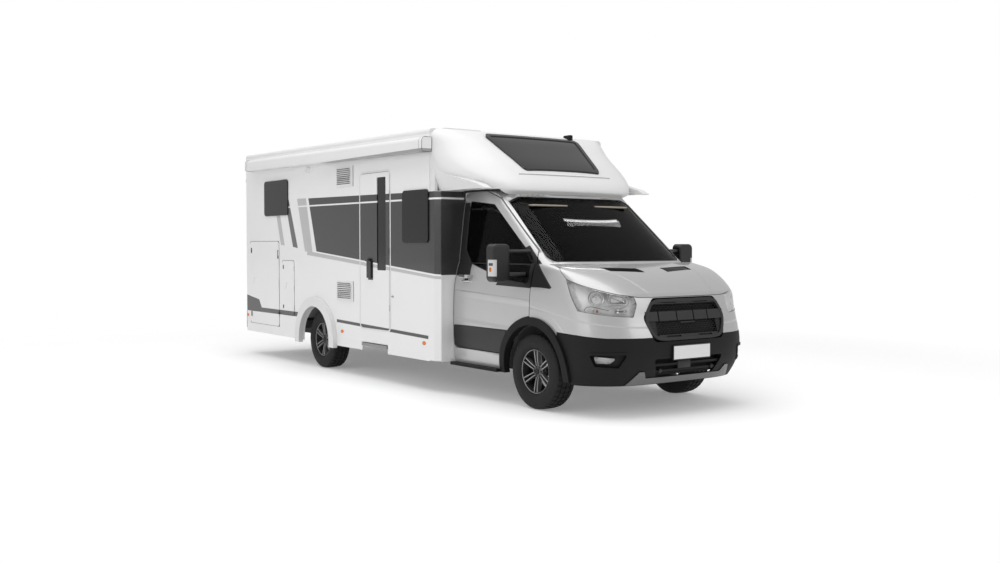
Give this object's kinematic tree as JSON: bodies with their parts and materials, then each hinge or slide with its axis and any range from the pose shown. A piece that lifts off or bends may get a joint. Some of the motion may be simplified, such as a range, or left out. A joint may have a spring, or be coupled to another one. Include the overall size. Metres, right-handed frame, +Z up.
{
  "type": "motorhome",
  "caption": "Low-profile coachbuilt motorhome: a van cab with a moulded cap over it and a long living body with opening doors, hatches and a folding step.",
  "frame": {"origin": "on the ground under the middle of the vehicle", "axes": "+X forward, +Y to the vehicle's left, +Z up"},
  "size_m": [7.36, 2.6, 2.8933],
  "materials": {
    "cab_paint": "metallic gloss",
    "trim_plastic": "grained",
    "skid_paint": "satin silver",
    "plate_white": "satin",
    "lamp_glass": "clear",
    "tinted_glass": "dark tint",
    "roof_glass": "dark tint",
    "white_gelcoat": "gloss",
    "wall_panel": "gloss",
    "skirt_paint": "gloss",
    "floor_board": "sealed board",
    "white_plastic": "satin",
    "awning_metal": "painted",
    "lamp_red": "gloss",
    "chassis_steel": "satin black",
    "step_alloy": "satin",
    "engine_iron": "as cast",
    "tank_plastic": "moulded",
    "dash_plastic": "grained",
    "seat_fabric": "woven",
    "tyre": "matt rubber",
    "rim_alloy": "satin anthracite"
  },
  "bodies": {
    "coach": {"arch_spats": "white_gelcoat", "awning_case": "awning_metal", "cab_body": "cab_paint", "cab_steps": "trim_plastic", "cab_trims": "trim_plastic", "chassis_frame": "chassis_steel", "corner_panels": "white_gelcoat", "dashboard": "dash_plastic", "engine_block": "engine_iron", "floor_panel": "floor_board", "fridge_vents": "white_plastic", "front_axle": "chassis_steel", "front_bumper": "trim_plastic", "front_lamps": "lamp_glass", "front_wings": "cab_paint", "grille": "trim_plastic", "number_plate": "plate_white", "rear_axle": "chassis_steel", "rear_bumper": "trim_plastic", "rear_wall": "wall_panel", "roof_cap": "white_gelcoat", "roof_hatches": "roof_glass", "roof_panel": "wall_panel", "roof_window": "roof_glass", "seat_frames": "dash_plastic", "seat_pads": "seat_fabric", "side_skirts": "skirt_paint", "side_wall_left": "wall_panel", "side_wall_right": "wall_panel", "side_windows": "tinted_glass", "skid_plate": "skid_paint", "steering_wheel": "dash_plastic", "step_housing": "chassis_steel", "tail_and_marker_lamps": "lamp_red", "underfloor_tanks": "tank_plastic", "windscreen": "tinted_glass"},
    "bonnet": {"bonnet": "cab_paint"},
    "cab_door_right": {"cab_door_right": "cab_paint", "cab_door_glass_right": "tinted_glass", "mirror_right": "trim_plastic"},
    "cab_door_left": {"cab_door_left": "cab_paint", "cab_door_glass_left": "tinted_glass", "mirror_left": "trim_plastic"},
    "entrance_door": {"entrance_door": "wall_panel", "entrance_door_glass": "tinted_glass"},
    "garage_door_right": {"garage_door_right": "wall_panel"},
    "garage_door_left": {"garage_door_left": "wall_panel"},
    "service_hatch_right": {"service_hatch_right": "wall_panel"},
    "service_hatch_left": {"service_hatch_left": "wall_panel"},
    "entrance_step": {"entrance_step": "step_alloy"},
    "knuckle_right": {"knuckle_right": "chassis_steel"},
    "knuckle_left": {"knuckle_left": "chassis_steel"},
    "wheel_front_right": {"tyre_front_right": "tyre", "rim_front_right": "rim_alloy"},
    "wheel_front_left": {"tyre_front_left": "tyre", "rim_front_left": "rim_alloy"},
    "wheel_rear_right": {"tyre_rear_right": "tyre", "rim_rear_right": "rim_alloy"},
    "wheel_rear_left": {"tyre_rear_left": "tyre", "rim_rear_left": "rim_alloy"}
  },
  "joints": [
    {"name": "steering", "type": "hinge", "parent": "coach", "child": "knuckle_left", "pos_m": [2.65, 0.8, 0.215], "axis": [0, -0.2283, 0.9736], "range_deg": [-32, 32]},
    {"name": "steering_right", "type": "hinge", "parent": "coach", "child": "knuckle_right", "pos_m": [2.65, -0.8, 0.215], "axis": [0, 0.2283, 0.9736], "range_deg": [-32, 32]},
    {"name": "front_left_wheel_spin", "type": "hinge", "parent": "knuckle_left", "child": "wheel_front_left", "pos_m": [2.65, 0.872, 0.35], "axis": [0, 1, 0], "continuous": true},
    {"name": "front_right_wheel_spin", "type": "hinge", "parent": "knuckle_right", "child": "wheel_front_right", "pos_m": [2.65, -0.872, 0.35], "axis": [0, 1, 0], "continuous": true},
    {"name": "rear_left_wheel_spin", "type": "hinge", "parent": "coach", "child": "wheel_rear_left", "pos_m": [-1.43, 0.988, 0.35], "axis": [0, 1, 0], "continuous": true},
    {"name": "rear_right_wheel_spin", "type": "hinge", "parent": "coach", "child": "wheel_rear_right", "pos_m": [-1.43, -0.988, 0.35], "axis": [0, 1, 0], "continuous": true},
    {"name": "cab_door_right_swing", "type": "hinge", "parent": "coach", "child": "cab_door_right", "pos_m": [2.6019, -1, 1], "axis": [0, 0, 1], "range_deg": [0, 65]},
    {"name": "cab_door_left_swing", "type": "hinge", "parent": "coach", "child": "cab_door_left", "pos_m": [2.6019, 1, 1], "axis": [0, 0, -1], "range_deg": [0, 65]},
    {"name": "bonnet_lift", "type": "hinge", "parent": "coach", "child": "bonnet", "pos_m": [2.8866, 0, 1.335], "axis": [0, -1, 0], "range_deg": [0, 50]},
    {"name": "entrance_door_swing", "type": "hinge", "parent": "coach", "child": "entrance_door", "pos_m": [0.345, -1.17, 1.4], "axis": [0, 0, 1], "range_deg": [0, 165]},
    {"name": "garage_door_right_swing", "type": "hinge", "parent": "coach", "child": "garage_door_right", "pos_m": [-2.54, -1.17, 1], "axis": [0, 0, 1], "range_deg": [0, 90]},
    {"name": "garage_door_left_swing", "type": "hinge", "parent": "coach", "child": "garage_door_left", "pos_m": [-2.54, 1.17, 1], "axis": [0, 0, -1], "range_deg": [0, 90]},
    {"name": "service_hatch_right_swing", "type": "hinge", "parent": "coach", "child": "service_hatch_right", "pos_m": [-2.078, -1.17, 0.95], "axis": [0, 0, 1], "range_deg": [0, 90]},
    {"name": "service_hatch_left_swing", "type": "hinge", "parent": "coach", "child": "service_hatch_left", "pos_m": [-2.078, 1.17, 0.95], "axis": [0, 0, -1], "range_deg": [0, 90]},
    {"name": "entrance_step_slide", "type": "slide", "parent": "coach", "child": "entrance_step", "axis": [0, -1, 0], "range_m": [0, 0.25]}
  ],
  "couplings": [
    {"joint": "steering_right", "follows": "steering", "ratio": 1}
  ]
}
